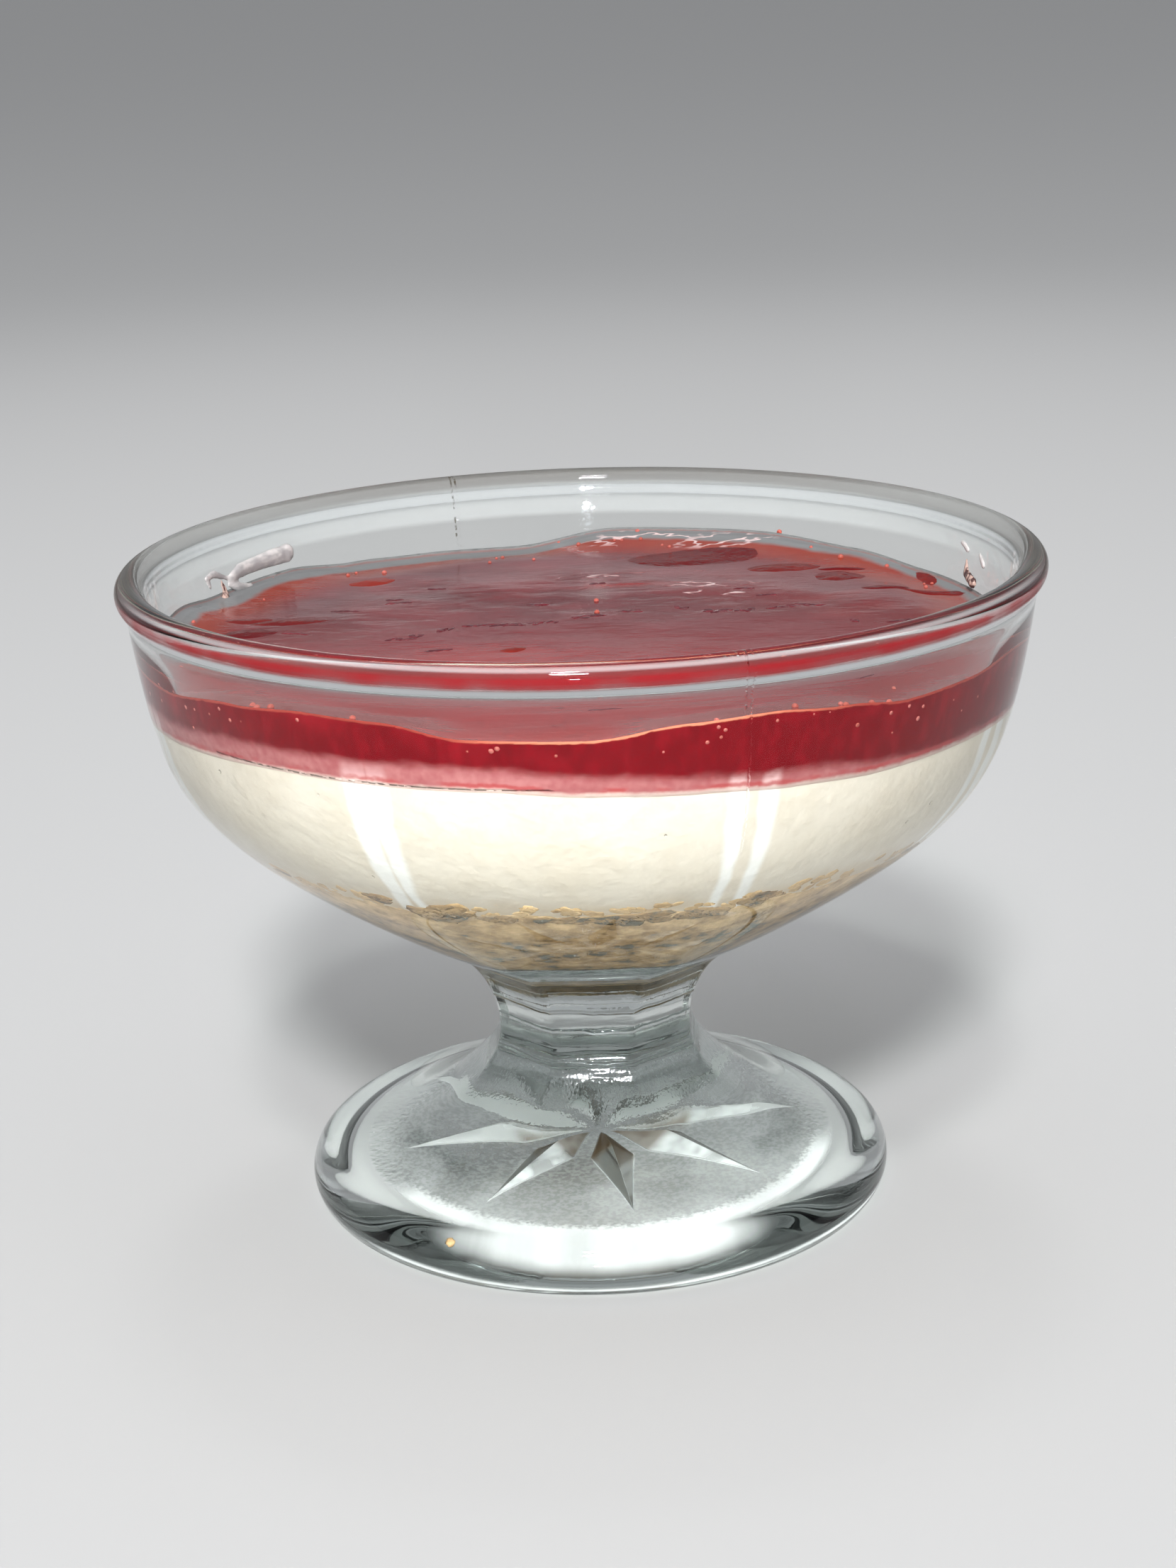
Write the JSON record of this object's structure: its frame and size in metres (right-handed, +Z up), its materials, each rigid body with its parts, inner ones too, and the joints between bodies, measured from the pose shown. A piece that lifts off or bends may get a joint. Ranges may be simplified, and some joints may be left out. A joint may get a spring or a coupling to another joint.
{
  "type": "layered no-bake cheesecake in a footed glass coupe",
  "caption": "Footed pressed-glass coupe filled with biscuit crumbs, cream cheese and a red fruit jelly topping.",
  "frame": {"origin": "bottom centre of the foot, on the surface that the glass stands on", "axes": "+Z up along the stem; -Y is the front, towards the viewer; +X is to the viewer's right"},
  "size_m": [0.11, 0.11, 0.0808],
  "materials": {
    "clear_glass": "clear pressed glass with a faint grey-green tint, polished, finely stippled under the foot",
    "biscuit_crumb": "coarse buttered biscuit crumbs, matt",
    "cream_cheese": "smooth set cream cheese, ivory white, satin",
    "strawberry_jelly": "set fruit jelly, deep red, wet and glossy, slightly see-through"
  },
  "bodies": {
    "root": {"coupe_glass": "clear_glass", "biscuit_base": "biscuit_crumb", "cream_cheese": "cream_cheese", "strawberry_jelly": "strawberry_jelly"}
  },
  "joints": []
}
